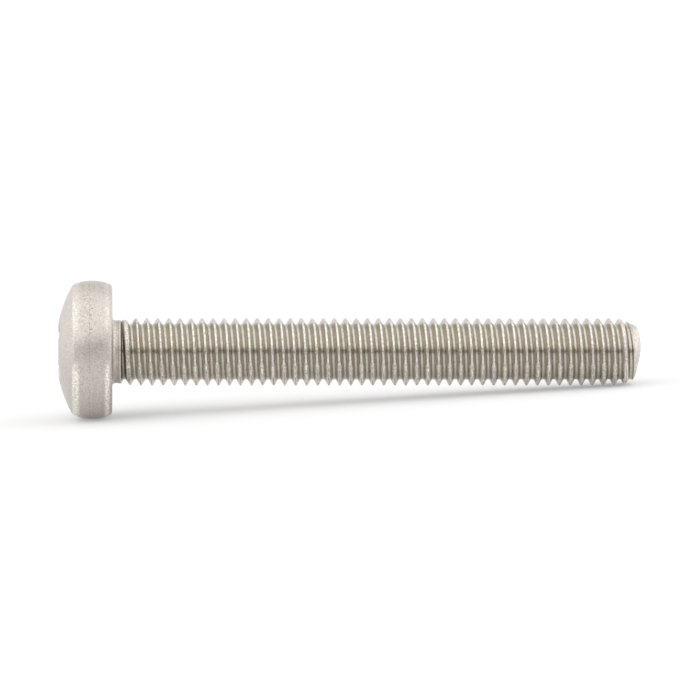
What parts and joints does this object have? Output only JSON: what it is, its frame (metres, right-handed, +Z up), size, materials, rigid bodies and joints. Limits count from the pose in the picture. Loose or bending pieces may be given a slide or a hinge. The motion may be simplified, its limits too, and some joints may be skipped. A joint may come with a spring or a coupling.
{
  "type": "machine screw",
  "caption": "Metric machine screw lying on its side: raised pan head with a cross recess, short plain neck, right-hand thread and sheared end. It clamps parts under its head.",
  "frame": {"origin": "where the axis of the shank meets the bearing face under the head", "axes": "+Z up from the surface that the screw lies on; the axis of the shank lies in the XZ plane and runs from the head towards +X, leaning down by 3.65 degrees, because the head is wider than the thread"},
  "size_m": [0.0423, 0.01, 0.01],
  "materials": {
    "steel": "satin"
  },
  "bodies": {
    "root": {"screw": "steel"}
  },
  "joints": []
}
